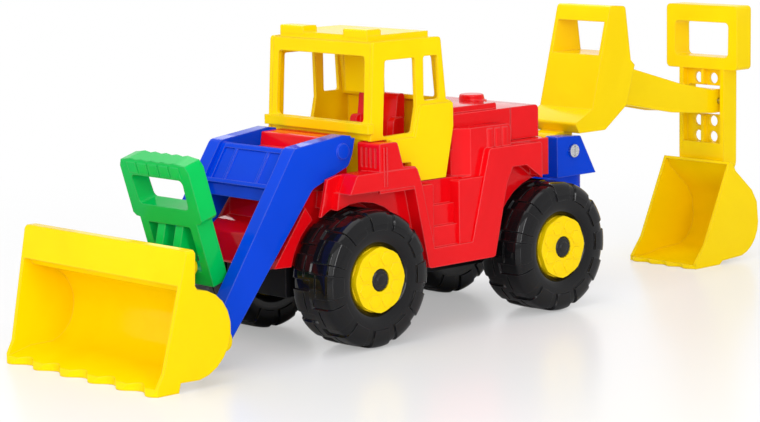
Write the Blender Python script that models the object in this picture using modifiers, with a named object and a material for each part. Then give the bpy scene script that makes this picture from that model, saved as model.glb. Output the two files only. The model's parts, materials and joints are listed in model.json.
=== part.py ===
"""Toy backhoe loader: a moulded tractor with a loader bucket in front and a digging arm behind.

Metres, +Z up, +X towards the loader bucket, +Y to the vehicle's left. The vehicle frame has the
rear axle at x = 0 and the ground at z = 0; the root empty shifts it so that the whole toy is
centred on the origin.
"""

import math

import bmesh
import bpy

# Overall placing and fits
CENTRE_X = 0.0595          # from the rear axle to the middle of the toy's length
FIT = 0.0003               # gap between pieces that touch
PIN_FIT = 0.0004           # gap round a pin in its hole

# Wheels and axles
WHEELBASE = 0.2025
TYRE_RADIUS = 0.0525
TYRE_HALF_WIDTH = 0.0235
TRACK_HALF = 0.0605        # from the middle plane to a tyre's middle
LUG_COUNT = 12
GROOVE_DEPTH = 0.0032
GROOVE_ANGLE = math.radians(2.2)
RIM_RADIUS = 0.0255
RIM_EDGE = 0.72            # tyre's width at the rim, as a share of its full width
HUB_SINK = 0.0010          # hub face inside the tyre's side
HUB_PLATE = 0.0085
HUB_SCALLOPS = 8
SCALLOP_DEPTH = 0.0010
PAD_RADIUS = 0.0058
PAD_HEIGHT = 0.0008
HUB_BOSS_RADIUS = 0.0080
CAP_RADIUS = 0.0085
CAP_PROUD = 0.0018
CAP_SINK = 0.0030
AXLE_RADIUS = 0.0025
ARCH_GAP = 0.0045          # between a tyre and its arch

# Chassis tray
CHASSIS_HALF = 0.034
CHASSIS_BOTTOM = 0.040
CHASSIS_TOP = 0.0640
CHASSIS_WALL = 0.003
CHASSIS_REAR = 0.030       # behind the rear axle
CHASSIS_FRONT = 0.052      # ahead of the front axle

# Body shell
BODY_WALL = 0.003
CORE_HALF = 0.0355         # between the tyres
DECK_HALF = 0.060          # over the tyres
FENDER_HALF = 0.072        # outer face of fenders and skirts
DECK_Z = 0.1185            # floor under the cab
REAR_DECK_Z = 0.139        # floor under the rear hood
FENDER_Z = 0.132           # top of the front fender
SKIRT_BOTTOM = 0.052
BODY_REAR = 0.014          # behind the rear axle
CAB_SPLIT_X = 0.4864 * WHEELBASE   # step up from cab floor to rear deck
NOSE_HALF = 0.045
TOWER_INNER = 0.047
TOWER_OUTER = 0.0715
TOWER_Z = 0.1535
TOWER_FRONT = 0.012        # behind the front axle
GRILLE_SLOTS = 4
GRILLE_DEPTH = 0.0012
TANK_OUTER = 0.066
TANK_Z = 0.1555
TANK_RIDGES = 3
STEP_RISE = 0.016
STEP_TREAD = 0.004

# Rear hood
HOOD_HALF = 0.050
HOOD_Z = 0.1655
HOOD_PANEL_HALF = 0.043
HOOD_PANEL_Z = 0.1700
FILTER_X = 0.019
FILTER_RADIUS = 0.0125
FILTER_HEIGHT = 0.0070

# Cab
CAB_HALF = 0.0590
CAB_WALL = 0.0034
CAB_SHOULDER = 0.0612      # outer face of the lower side panel
CAB_ROOF_Z = 0.2290
WINDOW_DROP = 0.0145       # from the roof down to the windows
ROOF_PANEL_HALF = 0.050
ROOF_PANEL_RISE = 0.0042
LIGHT_BOX_RISE = 0.0046
LIGHT_BOX_INNER = 0.023
LIGHT_BOX_OUTER = 0.0497
LIGHT_BOX_DEPTH = 0.0145
BULKHEAD_HALF = 0.021
SILL_BACK = 0.0115         # sill's face behind the front axle
SILL_HALF = 0.0597
SILL_BOTTOM = 0.1597
SILL_TOP = 0.1672
CAB_GAP = 0.0006           # between the cab and the towers

# Seat
SEAT_HALF = 0.022
SEAT_Z = 0.141
SEAT_BACK_Z = 0.183
SEAT_ARM_Z = 0.1645

# Front hood and loader arms
FRONT_HOOD_Z = 0.158
ARM_INNER = 0.0365
ARM_THICK = 0.0125
ARM_PIVOT = (WHEELBASE + 0.0055, 0.148)
ARM_PIN_RADIUS = 0.0035
ARM_BOSS_RADIUS = 0.0060
ARM_BOSS_PROUD = 0.0016
PANEL_THICK = 0.004
PANEL_RIBS = 2
PANEL_RIB = 0.0010

# Loader bucket
BUCKET_HALF = 0.090
BUCKET_TOP_HALF = 0.0955
BUCKET_WALL = 0.003
BUCKET_TOP_Z = 0.1005
BUCKET_CORNER = 0.0055      # rounding of the spill guard's top corners
BUCKET_TEETH = 6
TOOTH_LENGTH = 0.0080
TOOTH_PITCH = 0.033
BELLY_RADIUS = 0.0328
BUCKET_PIVOT = (WHEELBASE + 0.1305, 0.020)
BUCKET_PIN_RADIUS = 0.003
EAR_THICK = 0.006
EAR_RADIUS = 0.0068

# Tilt handle
HANDLE_LEAN = math.radians(17)
HANDLE_DEPTH = 0.015
LOOP_HALF = 0.040
LOOP_HEIGHT = 0.048
POST_HALF = 0.033
HANDLE_LENGTH = 0.098
HANDLE_FOOT = (BUCKET_PIVOT[0] - 0.00915, BUCKET_PIVOT[1] + 0.0377)
GRIP_RIDGES = 5
RIDGE_RISE = 0.0011
HOOK_PIN = (BUCKET_PIVOT[0] + 0.001, BUCKET_PIVOT[1] + 0.055)
HOOK_PIN_RADIUS = 0.003
HOOK_RADIUS = 0.0105
FINGER_INNER = 0.006
FINGER_OUTER = 0.0145
HOOK_EAR_THICK = 0.005

# Swing bracket and block
SWING_X = -0.088
SWING_PIN_RADIUS = 0.004
BARREL_RADIUS = 0.0165
BRACKET_BOTTOM = 0.072
BRACKET_TOP = 0.0975
CHEEK_INNER = 0.013
CHEEK_OUTER = 0.027
BLOCK_TOP = 0.1320
BLOCK_FLOOR = 0.0065
BOOM_PIVOT = (-0.0735, 0.1190)
BOLT_RADIUS = 0.003
BOLT_HEAD_RADIUS = 0.0055
BOLT_HEAD = 0.0022

# Boom
BOOM_HALF = 0.030
BOOM_WALL = 0.0036
BEAM_HALF = 0.0165
NOSE_HEIGHT_HALF = 0.0105
DIPPER_PIVOT = (-0.2790, 0.1430)
DIPPER_PIN_RADIUS = 0.0025

# Dipper
DIPPER_FRONT = -0.274
DIPPER_TOP = 0.228
GRIP_HALF = 0.0403
GRIP_DEPTH = 0.0195
GRIP_BOTTOM = 0.171
STICK_HALF = 0.0255
STICK_DEPTH = 0.018
STICK_WEB = 0.003
STICK_SINK = 0.0065        # web behind the flanges' front edges
STICK_RIB = 0.0026
FLANGE = 0.0045
DIPPER_HOLE_RADIUS = 0.005
DIPPER_HOLE_Y = 0.0085
CURL_PIVOT = (-0.2835, 0.0885)
CURL_PIN_RADIUS = 0.0025
CURL_EAR = 0.0060
FLANGE_END_RADIUS = 0.0085

# Digging bucket
DIG_HALF = 0.038
DIG_WALL = 0.0028
DIG_TEETH = 4
DIG_TOOTH = 0.004

RED = (0.62, 0.008, 0.008)
YELLOW = (0.93, 0.62, 0.0)
BLUE = (0.0, 0.045, 0.55)
GREEN = (0.0, 0.42, 0.07)
BLACK = (0.006, 0.006, 0.007)
STEEL = (0.62, 0.63, 0.65)

ARC_STEP = math.radians(24)
AXLE_X = {"rear": 0.0, "front": WHEELBASE}
SIDES = {"left": 1, "right": -1}

parts = {}
axes = {}


def start_scene():
    """Clears the scene and makes the collections for the parts and for their cutters."""
    for obj in list(bpy.data.objects):
        bpy.data.objects.remove(obj)
    for name in ("toy_backhoe_loader", "cutters"):
        collection = bpy.data.collections.new(name)
        bpy.context.scene.collection.children.link(collection)


def rounded(corners):
    """Closed outline from (x, y) or (x, y, radius) corners, with each radius as an arc."""
    outline = []
    count = len(corners)
    for i, corner in enumerate(corners):
        x, y = corner[:2]
        radius = corner[2] if len(corner) > 2 else 0
        if not radius:
            outline.append((x, y))
            continue
        before = corners[i - 1]
        after = corners[(i + 1) % count]
        a = math.atan2(before[1] - y, before[0] - x)
        b = math.atan2(after[1] - y, after[0] - x)
        turn = (b - a + math.pi) % (2 * math.pi) - math.pi
        half = abs(turn) / 2
        reach = radius / math.tan(half)
        middle = a + turn / 2
        cx = x + math.cos(middle) * radius / math.sin(half)
        cy = y + math.sin(middle) * radius / math.sin(half)
        first = math.atan2(y + math.sin(a) * reach - cy, x + math.cos(a) * reach - cx)
        last = math.atan2(y + math.sin(b) * reach - cy, x + math.cos(b) * reach - cx)
        sweep = (last - first + math.pi) % (2 * math.pi) - math.pi
        steps = max(1, round(abs(sweep) / ARC_STEP))
        for k in range(steps + 1):
            angle = first + sweep * k / steps
            outline.append((cx + radius * math.cos(angle), cy + radius * math.sin(angle)))
    return outline


def arc(centre, radius, start, end, steps):
    """Points on an arc, angles in degrees."""
    points = []
    for k in range(steps + 1):
        angle = math.radians(start + (end - start) * k / steps)
        points.append((centre[0] + radius * math.cos(angle), centre[1] + radius * math.sin(angle)))
    return points


def circle(centre, radius, sides=16):
    """Closed ring of points."""
    return arc(centre, radius, 0, 360 - 360 / sides, sides - 1)


def add_object(name, mesh):
    obj = bpy.data.objects.new(name, mesh)
    bpy.data.collections["toy_backhoe_loader"].objects.link(obj)
    return obj


def prism(name, axis, low, high, *loops):
    """Flat outline, with any holes, extruded along an axis from low to high.

    The outline's plane is XZ for axis Y, YZ for axis X and XY for axis Z.
    """
    curve = bpy.data.curves.new(name, "CURVE")
    curve.dimensions = "2D"
    curve.fill_mode = "BOTH"
    curve.extrude = (high - low) / 2
    for loop in loops:
        spline = curve.splines.new("POLY")
        spline.points.add(len(loop) - 1)
        for point, (u, v) in zip(spline.points, loop):
            point.co = (u, v, 0, 1)
        spline.use_cyclic_u = True
    guide = bpy.data.objects.new(name, curve)
    bpy.context.scene.collection.objects.link(guide)
    graph = bpy.context.evaluated_depsgraph_get()
    mesh = bpy.data.meshes.new_from_object(guide.evaluated_get(graph))
    bpy.data.objects.remove(guide)
    middle = (low + high) / 2
    cloth = bmesh.new()
    cloth.from_mesh(mesh)
    bmesh.ops.remove_doubles(cloth, verts=cloth.verts, dist=1e-6)
    bmesh.ops.dissolve_limit(cloth, angle_limit=math.radians(0.1), verts=cloth.verts, edges=cloth.edges)
    for vert in cloth.verts:
        u, v, w = vert.co
        if axis == "Y":
            vert.co = (u, middle - w, v)
        elif axis == "X":
            vert.co = (middle + w, u, v)
        else:
            vert.co = (u, v, middle + w)
    bmesh.ops.recalc_face_normals(cloth, faces=cloth.faces)
    if cloth.calc_volume(signed=True) < 0:
        bmesh.ops.reverse_faces(cloth, faces=cloth.faces)
    cloth.to_mesh(mesh)
    cloth.free()
    return add_object(name, mesh)


def box(name, x, y, z):
    """Box between two values on each axis."""
    mesh = bpy.data.meshes.new(name)
    cube = bmesh.new()
    bmesh.ops.create_cube(cube, size=1)
    for vert in cube.verts:
        vert.co.x = x[0] + (vert.co.x + 0.5) * (x[1] - x[0])
        vert.co.y = y[0] + (vert.co.y + 0.5) * (y[1] - y[0])
        vert.co.z = z[0] + (vert.co.z + 0.5) * (z[1] - z[0])
    cube.to_mesh(mesh)
    cube.free()
    return add_object(name, mesh)


def rod(name, axis, centre, radius, low, high, sides=16):
    """Cylinder along an axis; centre is its place in the outline plane of that axis."""
    return prism(name, axis, low, high, circle(centre, radius, sides))


def boolean(target, tool, operation):
    modifier = target.modifiers.new(tool.name, "BOOLEAN")
    modifier.operation = operation
    modifier.object = tool
    tool.hide_render = True
    tool.display_type = "WIRE"
    for collection in list(tool.users_collection):
        collection.objects.unlink(tool)
    bpy.data.collections["cutters"].objects.link(tool)
    tool["target"] = target.name


def join(target, *tools):
    for tool in tools:
        boolean(target, tool, "UNION")


def cut(target, *tools):
    for tool in tools:
        boolean(target, tool, "DIFFERENCE")


def finish(obj, colour, roughness, metallic=0.0):
    """Gives a part its own material and smooth round faces."""
    material = bpy.data.materials.new(obj.name)
    material.use_nodes = True
    shader = material.node_tree.nodes["Principled BSDF"]
    shader.inputs["Base Color"].default_value = (*colour, 1)
    shader.inputs["Roughness"].default_value = roughness
    shader.inputs["Metallic"].default_value = metallic
    obj.data.materials.clear()
    obj.data.materials.append(material)
    obj.data.shade_smooth()
    obj.data.set_sharp_from_angle(angle=math.radians(35))
    parts[obj.name] = obj
    return obj


def taper(obj, rate):
    """Widens a piece in proportion to its height."""
    for vert in obj.data.vertices:
        vert.co.y *= 1 + rate * vert.co.z
    return obj


def pair(obj):
    """Adds the mirror image on the vehicle's right side."""
    modifier = obj.modifiers.new("pair", "MIRROR")
    modifier.use_axis = (False, True, False)
    modifier.use_mirror_merge = False
    return obj


def turned(name, section, sides):
    """Mesh turned about +Z from (radius, height) points that run from the top to the bottom."""
    mesh = bpy.data.meshes.new(name)
    profile = bmesh.new()
    verts = [profile.verts.new((radius, 0, height)) for radius, height in section]
    for first, second in zip(verts, verts[1:]):
        profile.edges.new((first, second))
    profile.to_mesh(mesh)
    profile.free()
    guide = add_object(name, mesh)
    screw = guide.modifiers.new("turn", "SCREW")
    screw.steps = sides
    screw.render_steps = sides
    screw.use_merge_vertices = True
    screw.merge_threshold = 0.00005
    graph = bpy.context.evaluated_depsgraph_get()
    solid = bpy.data.meshes.new_from_object(guide.evaluated_get(graph))
    bpy.data.objects.remove(guide)
    return solid


def make_axis(name, place, parent=None):
    """Empty on a joint's axis. Its place is in the vehicle frame."""
    empty = bpy.data.objects.new(name, None)
    empty.empty_display_size = 0.02
    bpy.data.collections["toy_backhoe_loader"].objects.link(empty)
    origin = axes[parent][1] if parent else (0, 0, 0)
    if parent:
        empty.parent = axes[parent][0]
        empty.location = [p - o for p, o in zip(place, origin)]
    axes[name] = (empty, place)


def carry(axis, *names):
    """Parents parts, and the cutters that shape them, to an axis without moving them."""
    empty, place = axes[axis]
    for name in names:
        for obj in [parts[name]] + [o for o in bpy.data.objects if o.get("target") == name]:
            obj.parent = empty
            obj.location = [-p for p in place]


def tyre(name, x, side):
    """Blow-moulded tyre: a turned section with staggered grooves across both shoulders."""
    w = TYRE_HALF_WIDTH
    r = TYRE_RADIUS
    half = [(r, 0.60 * w, 1), (r - 0.0010, 0.77 * w, 1), (r - 0.0050, 0.91 * w, 0.8), (r - 0.0135, w, 0.3),
            (RIM_RADIUS, RIM_EDGE * w, 0)]
    section = [(radius, -offset, share) for radius, offset, share in reversed(half)] + [(r, 0.0, 0)]
    section += [(radius, offset, -share) for radius, offset, share in half]
    columns = []
    pitch = 2 * math.pi / LUG_COUNT
    for lug in range(LUG_COUNT):
        for row, shift in ((1, 0.0), (-1, 0.5)):
            centre = (lug + shift) * pitch + GROOVE_ANGLE - math.pi / 2
            columns += [(centre - GROOVE_ANGLE, 0), (centre, row), (centre + GROOVE_ANGLE, 0)]
    mesh = bpy.data.meshes.new(name)
    grid = bmesh.new()
    rings = []
    for angle, row in columns:
        ring = []
        for radius, offset, share in section:
            depth = GROOVE_DEPTH * abs(share) if share * row > 0 else 0
            reach = radius - depth
            place = (x + reach * math.cos(angle), side * TRACK_HALF + side * offset,
                     TYRE_RADIUS + reach * math.sin(angle))
            ring.append(grid.verts.new(place))
        rings.append(ring)
    for ring, after in zip(rings, rings[1:] + rings[:1]):
        for k in range(len(section)):
            n = (k + 1) % len(section)
            grid.faces.new((ring[k], after[k], after[n], ring[n]))
    bmesh.ops.recalc_face_normals(grid, faces=grid.faces)
    grid.to_mesh(mesh)
    grid.free()
    return finish(add_object(name, mesh), BLACK, 0.18)


def hub(name, x, side):
    """Hub with a scalloped face, a ring of raised pads and a boss that runs on the chassis."""
    centre = (x, TYRE_RADIUS)
    face = TRACK_HALF + TYRE_HALF_WIDTH - HUB_SINK
    inner = CHASSIS_HALF + FIT
    plate = []
    points = HUB_SCALLOPS * 4
    for k in range(points):
        angle = 2 * math.pi * k / points
        radius = RIM_RADIUS - FIT - SCALLOP_DEPTH * (1 - math.cos(HUB_SCALLOPS * angle)) / 2
        plate.append((x + radius * math.cos(angle), TYRE_RADIUS + radius * math.sin(angle)))
    obj = prism(name, "Y", *sorted((side * (face - HUB_PLATE), side * face)), plate)
    barrel_radius = RIM_RADIUS - FIT
    tyre_inner = TRACK_HALF - RIM_EDGE * TYRE_HALF_WIDTH
    barrel = rod(name + "_barrel", "Y", centre, barrel_radius,
                 *sorted((side * tyre_inner, side * (TRACK_HALF + RIM_EDGE * TYRE_HALF_WIDTH + 0.001))), 24)
    boss = rod(name + "_boss", "Y", centre, HUB_BOSS_RADIUS,
               *sorted((side * inner, side * (tyre_inner + HUB_PLATE))), 14)
    join(obj, barrel, boss)
    ring = (CAP_RADIUS + FIT + barrel_radius) / 2
    for k in range(HUB_SCALLOPS):
        angle = 2 * math.pi * (k + 0.5) / HUB_SCALLOPS
        place = (x + ring * math.cos(angle), TYRE_RADIUS + ring * math.sin(angle))
        pad = rod(f"{name}_pad_{k}", "Y", place, PAD_RADIUS,
                  *sorted((side * (face - HUB_PLATE / 2), side * (face + PAD_HEIGHT))), 6)
        join(obj, pad)
    bore = rod(name + "_bore", "Y", centre, AXLE_RADIUS + PIN_FIT,
               *sorted((side * (inner - HUB_PLATE), side * (face + HUB_PLATE))), 12)
    recess = rod(name + "_recess", "Y", centre, CAP_RADIUS + PIN_FIT,
                 *sorted((side * (face - CAP_SINK - FIT), side * (face + HUB_PLATE))), 16)
    cut(obj, bore, recess)
    return finish(obj, YELLOW, 0.22)


def axle_cap(name, x, side):
    """Push cap on the axle's end, with a domed face."""
    face = TRACK_HALF + TYRE_HALF_WIDTH - HUB_SINK
    length = CAP_SINK + CAP_PROUD
    mesh = turned(name, [
        (0, length), (0.45 * CAP_RADIUS, 0.94 * length), (0.55 * CAP_RADIUS, 0.75 * length),
        (0.85 * CAP_RADIUS, 0.72 * length), (CAP_RADIUS, 0.5 * length), (CAP_RADIUS, 0), (0, 0)], 14)
    for vert in mesh.vertices:
        u, v, w = vert.co
        vert.co = (x + u, side * (face - CAP_SINK + w), TYRE_RADIUS - side * v)
    obj = add_object(name, mesh)
    bore = rod(name + "_bore", "Y", (x, TYRE_RADIUS), AXLE_RADIUS + FIT,
               *sorted((side * (face - 2 * CAP_SINK), side * (face - CAP_SINK / 3))), 12)
    cut(obj, bore)
    return finish(obj, BLACK, 0.25)


def wheels_and_axles():
    for end, x in AXLE_X.items():
        reach = TRACK_HALF + TYRE_HALF_WIDTH - HUB_SINK - CAP_SINK / 3 - FIT
        axle = rod(f"{end}_axle", "Y", (x, TYRE_RADIUS), AXLE_RADIUS, -reach, reach, 12)
        finish(axle, STEEL, 0.3, 1.0)
        for side, sign in SIDES.items():
            tyre(f"tyre_{end}_{side}", x, sign)
            hub(f"hub_{end}_{side}", x, sign)
            axle_cap(f"axle_cap_{end}_{side}", x, sign)


def chassis():
    """Open tray under the body that carries both axles in bored walls."""
    x = (-CHASSIS_REAR, WHEELBASE + CHASSIS_FRONT)
    obj = box("chassis", x, (-CHASSIS_HALF, CHASSIS_HALF), (CHASSIS_BOTTOM, CHASSIS_TOP))
    inside = CHASSIS_HALF - CHASSIS_WALL
    room = box("chassis_room", (x[0] + CHASSIS_WALL, x[1] - CHASSIS_WALL), (-inside, inside),
               (CHASSIS_BOTTOM + CHASSIS_WALL, CHASSIS_TOP + CHASSIS_WALL))
    cut(obj, room)
    for end, axle_x in AXLE_X.items():
        cut(obj, rod(f"chassis_{end}_bore", "Y", (axle_x, TYRE_RADIUS), AXLE_RADIUS + PIN_FIT,
                     -2 * CHASSIS_HALF, 2 * CHASSIS_HALF, 12))
    finish(obj, BLACK, 0.45)


def skirt_outline():
    """Outer frame on each side: front fender, slanted posts, sill bar and rear fender."""
    front = WHEELBASE
    floor = DECK_Z - 0.0006
    arch_z = TYRE_RADIUS * 2 + ARCH_GAP
    return rounded([
        (front + 0.0190, floor), (front + 0.0115, FENDER_Z, 0.003),
        (front - 0.0505, FENDER_Z, 0.003), (front - 0.0555, floor + 0.0010),
        (front - 0.0685, 0.067), (0.092, 0.067), (0.072, REAR_DECK_Z - 0.0005, 0.003),
        (0.012, REAR_DECK_Z - 0.0005, 0.003), (0.012, 0.1092),
        (0.030, arch_z + 0.0120), (0.046, arch_z + 0.0120), (0.0525, arch_z),
        (0.0668, SKIRT_BOTTOM, 0.003), (front - 0.0625, SKIRT_BOTTOM, 0.003),
        (front - 0.0475, floor),
    ])


def deck_outline():
    """Deck over the tyres: flat floors above, wheel arches and the step wall below."""
    arch = TYRE_RADIUS + ARCH_GAP
    rear = (0.0, TYRE_RADIUS)
    front = (WHEELBASE, TYRE_RADIUS)
    drop = math.degrees(math.asin((CHASSIS_TOP + FIT - TYRE_RADIUS) / arch))
    points = [(-0.008, REAR_DECK_Z), (CAB_SPLIT_X, REAR_DECK_Z), (CAB_SPLIT_X, DECK_Z),
              (WHEELBASE + 0.0195, DECK_Z)]
    points += arc(front, arch, 68, 180 - drop, 8)
    points += arc(rear, arch, drop, 98, 8)
    return points


def core_outline():
    """Middle of the body between the tyres, with the stepped nose in front."""
    bottom = CHASSIS_TOP + FIT
    nose = WHEELBASE
    return rounded([
        (-BODY_REAR, bottom), (-BODY_REAR, REAR_DECK_Z), (CAB_SPLIT_X, REAR_DECK_Z),
        (CAB_SPLIT_X, DECK_Z), (nose + 0.0455, DECK_Z), (nose + 0.0475, 0.097),
        (nose + 0.0595, 0.095, 0.002), (nose + 0.0695, 0.088, 0.003), (nose + 0.0725, bottom, 0.003),
    ])


def nose_outline():
    """Side cheek of the nose, between the front tyre and the loader arm."""
    arch = TYRE_RADIUS + ARCH_GAP
    front = (WHEELBASE, TYRE_RADIUS)
    return arc(front, arch, 54, 13, 5) + [(WHEELBASE + 0.0725, 0.066), (WHEELBASE + 0.0475, 0.099),
                                          (WHEELBASE + 0.0405, 0.1085)]


def tower_outline():
    front = WHEELBASE
    low = DECK_Z - BODY_WALL
    return rounded([
        (front - TOWER_FRONT, low), (front - TOWER_FRONT, TOWER_Z, 0.002),
        (front - 0.0305, TOWER_Z, 0.003), (front - 0.0365, 0.134), (front - 0.0500, 0.1330, 0.002),
        (front - 0.0505, low),
    ])


def body_shell():
    """One moulding: core, deck, skirts, towers, tanks and steps, open below."""
    front = WHEELBASE
    obj = prism("body_shell", "Y", -CORE_HALF, CORE_HALF, core_outline())
    join(obj, pair(prism("body_deck", "Y", CORE_HALF - 0.001, DECK_HALF, deck_outline())))
    join(obj, pair(prism("body_skirt", "Y", DECK_HALF - 0.0015, FENDER_HALF, skirt_outline())))
    fender = rounded([(front + 0.0185, DECK_Z - 0.002), (front + 0.0110, FENDER_Z - 0.0004, 0.003),
                      (front - 0.0300, FENDER_Z - 0.0004), (front - 0.0300, DECK_Z - 0.002)])
    join(obj, pair(prism("body_fender", "Y", ARM_INNER + ARM_THICK + 0.0015, DECK_HALF, fender)))
    join(obj, pair(prism("body_tower", "Y", TOWER_INNER, TOWER_OUTER, tower_outline())))
    join(obj, pair(prism("body_nose", "Y", CORE_HALF - 0.001, NOSE_HALF, nose_outline())))
    for k in range(2):
        top = DECK_Z - (k + 1) * STEP_RISE - 0.0035
        join(obj, pair(box(f"body_step_{k}", (0.082 + 0.004 * k, front - 0.0600 - 0.003 * k),
                           (DECK_HALF - 0.002 - 0.0005 * k, DECK_HALF + (k + 1) * STEP_TREAD),
                           (SKIRT_BOTTOM + 0.0125 + 0.0005 * k, top))))
    tank = rounded([(0.042, REAR_DECK_Z - 0.004), (0.042, TANK_Z, 0.004), (CAB_SPLIT_X, TANK_Z, 0.003),
                    (CAB_SPLIT_X - 0.002, DECK_Z - 0.002), (0.074, DECK_Z - 0.002)])
    plan_cut = [(CAB_SPLIT_X - 0.012, TANK_OUTER + 0.001), (CAB_SPLIT_X + 0.001, TANK_OUTER - 0.012),
                (CAB_SPLIT_X + 0.001, TANK_OUTER + 0.001)]
    join(obj, pair(prism("body_tank", "Y", HOOD_HALF + FIT, TANK_OUTER, tank)))
    cut(obj, pair(prism("body_tank_corner", "Z", DECK_Z, TANK_Z + 0.01, plan_cut)))
    for k in range(TANK_RIDGES):
        x = 0.0460 + 0.0085 * k
        join(obj, pair(prism(f"body_ridge_{k}", "Z", REAR_DECK_Z - 0.002, TANK_Z - 0.002, rounded([
            (x, TANK_OUTER - 0.002), (x + 0.0060, TANK_OUTER - 0.002),
            (x + 0.0060, TANK_OUTER + 0.0014, 0.0012), (x, TANK_OUTER + 0.0014, 0.0012)]))))
    pitch = (TOWER_OUTER - TOWER_INNER) / (GRILLE_SLOTS + 1)
    face = front - TOWER_FRONT
    for k in range(GRILLE_SLOTS):
        y = TOWER_INNER + pitch * (k + 1)
        cut(obj, pair(box(f"body_grille_{k}", (face - GRILLE_DEPTH, face + 0.002),
                          (y - 0.0009, y + 0.0009), (FENDER_Z + 0.003, TOWER_Z - 0.004))))
    inside = CORE_HALF - BODY_WALL
    bottom = CHASSIS_TOP - 0.005
    cut(obj,
        box("body_room", (-BODY_REAR + BODY_WALL, front + 0.044), (-inside, inside),
            (bottom, DECK_Z - BODY_WALL)),
        box("body_rear_room", (-BODY_REAR + BODY_WALL, CAB_SPLIT_X - BODY_WALL), (-inside, inside),
            (DECK_Z - 2 * BODY_WALL, REAR_DECK_Z - BODY_WALL)),
        pair(box("body_step_room", (0.066, front - 0.066), (inside - 0.001, DECK_HALF - BODY_WALL),
                 (bottom, DECK_Z - BODY_WALL))),
        pair(box("body_fender_room", (front - 0.044, front + 0.008),
                 (DECK_HALF + 0.001, FENDER_HALF - BODY_WALL), (TYRE_RADIUS, FENDER_Z - BODY_WALL))),
        pair(box("body_tail_room", (0.015, 0.056), (DECK_HALF + 0.001, FENDER_HALF - BODY_WALL),
                 (TYRE_RADIUS, REAR_DECK_Z - BODY_WALL))))
    finish(obj, RED, 0.2)


def rear_hood():
    """Engine hood with a raised panel, open below, and the filter cap behind the panel."""
    low = REAR_DECK_Z + FIT
    front = CAB_SPLIT_X
    obj = prism("rear_hood", "Y", -HOOD_HALF, HOOD_HALF, rounded([
        (-0.007, low), (-0.007, HOOD_Z, 0.004), (front, HOOD_Z), (front, low)]))
    join(obj, prism("rear_hood_panel", "Y", -HOOD_PANEL_HALF, HOOD_PANEL_HALF, rounded([
        (0.034, HOOD_Z - 0.004), (0.035, HOOD_PANEL_Z, 0.0015), (front - 0.0005, HOOD_PANEL_Z, 0.0015),
        (front - 0.0005, HOOD_Z - 0.004)])))
    inside = HOOD_HALF - BODY_WALL
    cut(obj, box("rear_hood_room", (-0.004, front - BODY_WALL), (-inside, inside), (low - 0.01, HOOD_Z - 0.006)))
    cut(obj, pair(box("rear_hood_seam", (0.0250, 0.0258), (HOOD_HALF - 0.0007, HOOD_HALF + 0.01),
                      (low - 0.01, HOOD_Z + 0.01))))
    finish(obj, RED, 0.2)
    mesh = turned("filter_cap", [
        (0, FILTER_HEIGHT), (0.72 * FILTER_RADIUS, FILTER_HEIGHT), (0.8 * FILTER_RADIUS, 0.9 * FILTER_HEIGHT),
        (0.86 * FILTER_RADIUS, 0.4 * FILTER_HEIGHT), (FILTER_RADIUS, 0.3 * FILTER_HEIGHT), (FILTER_RADIUS, 0),
        (0, 0)], 20)
    for vert in mesh.vertices:
        vert.co.x += FILTER_X
        vert.co.z += HOOD_Z + FIT
    finish(add_object("filter_cap", mesh), RED, 0.2)


def cab_side_outline(rear):
    """Side of the cab: it stands over the tower in front and runs down to the floor behind it."""
    front = WHEELBASE
    over = TOWER_Z + CAB_GAP
    low = DECK_Z + FIT
    return rounded([
        (front - 0.0190, CAB_ROOF_Z, 0.003), (front - 0.0150, SILL_BOTTOM), (front - 0.0145, over),
        (front - 0.0305 - CAB_GAP, over), (front - 0.0370 - CAB_GAP, 0.1345 + CAB_GAP),
        (front - 0.0535 - CAB_GAP, 0.1335 + CAB_GAP), (front - 0.0570 - CAB_GAP, low),
        (rear + 0.0088, low), (rear, 0.158), (rear, 0.178), (rear + 0.0058, 0.180),
        (rear + 0.0112, CAB_ROOF_Z, 0.003),
    ])


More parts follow.
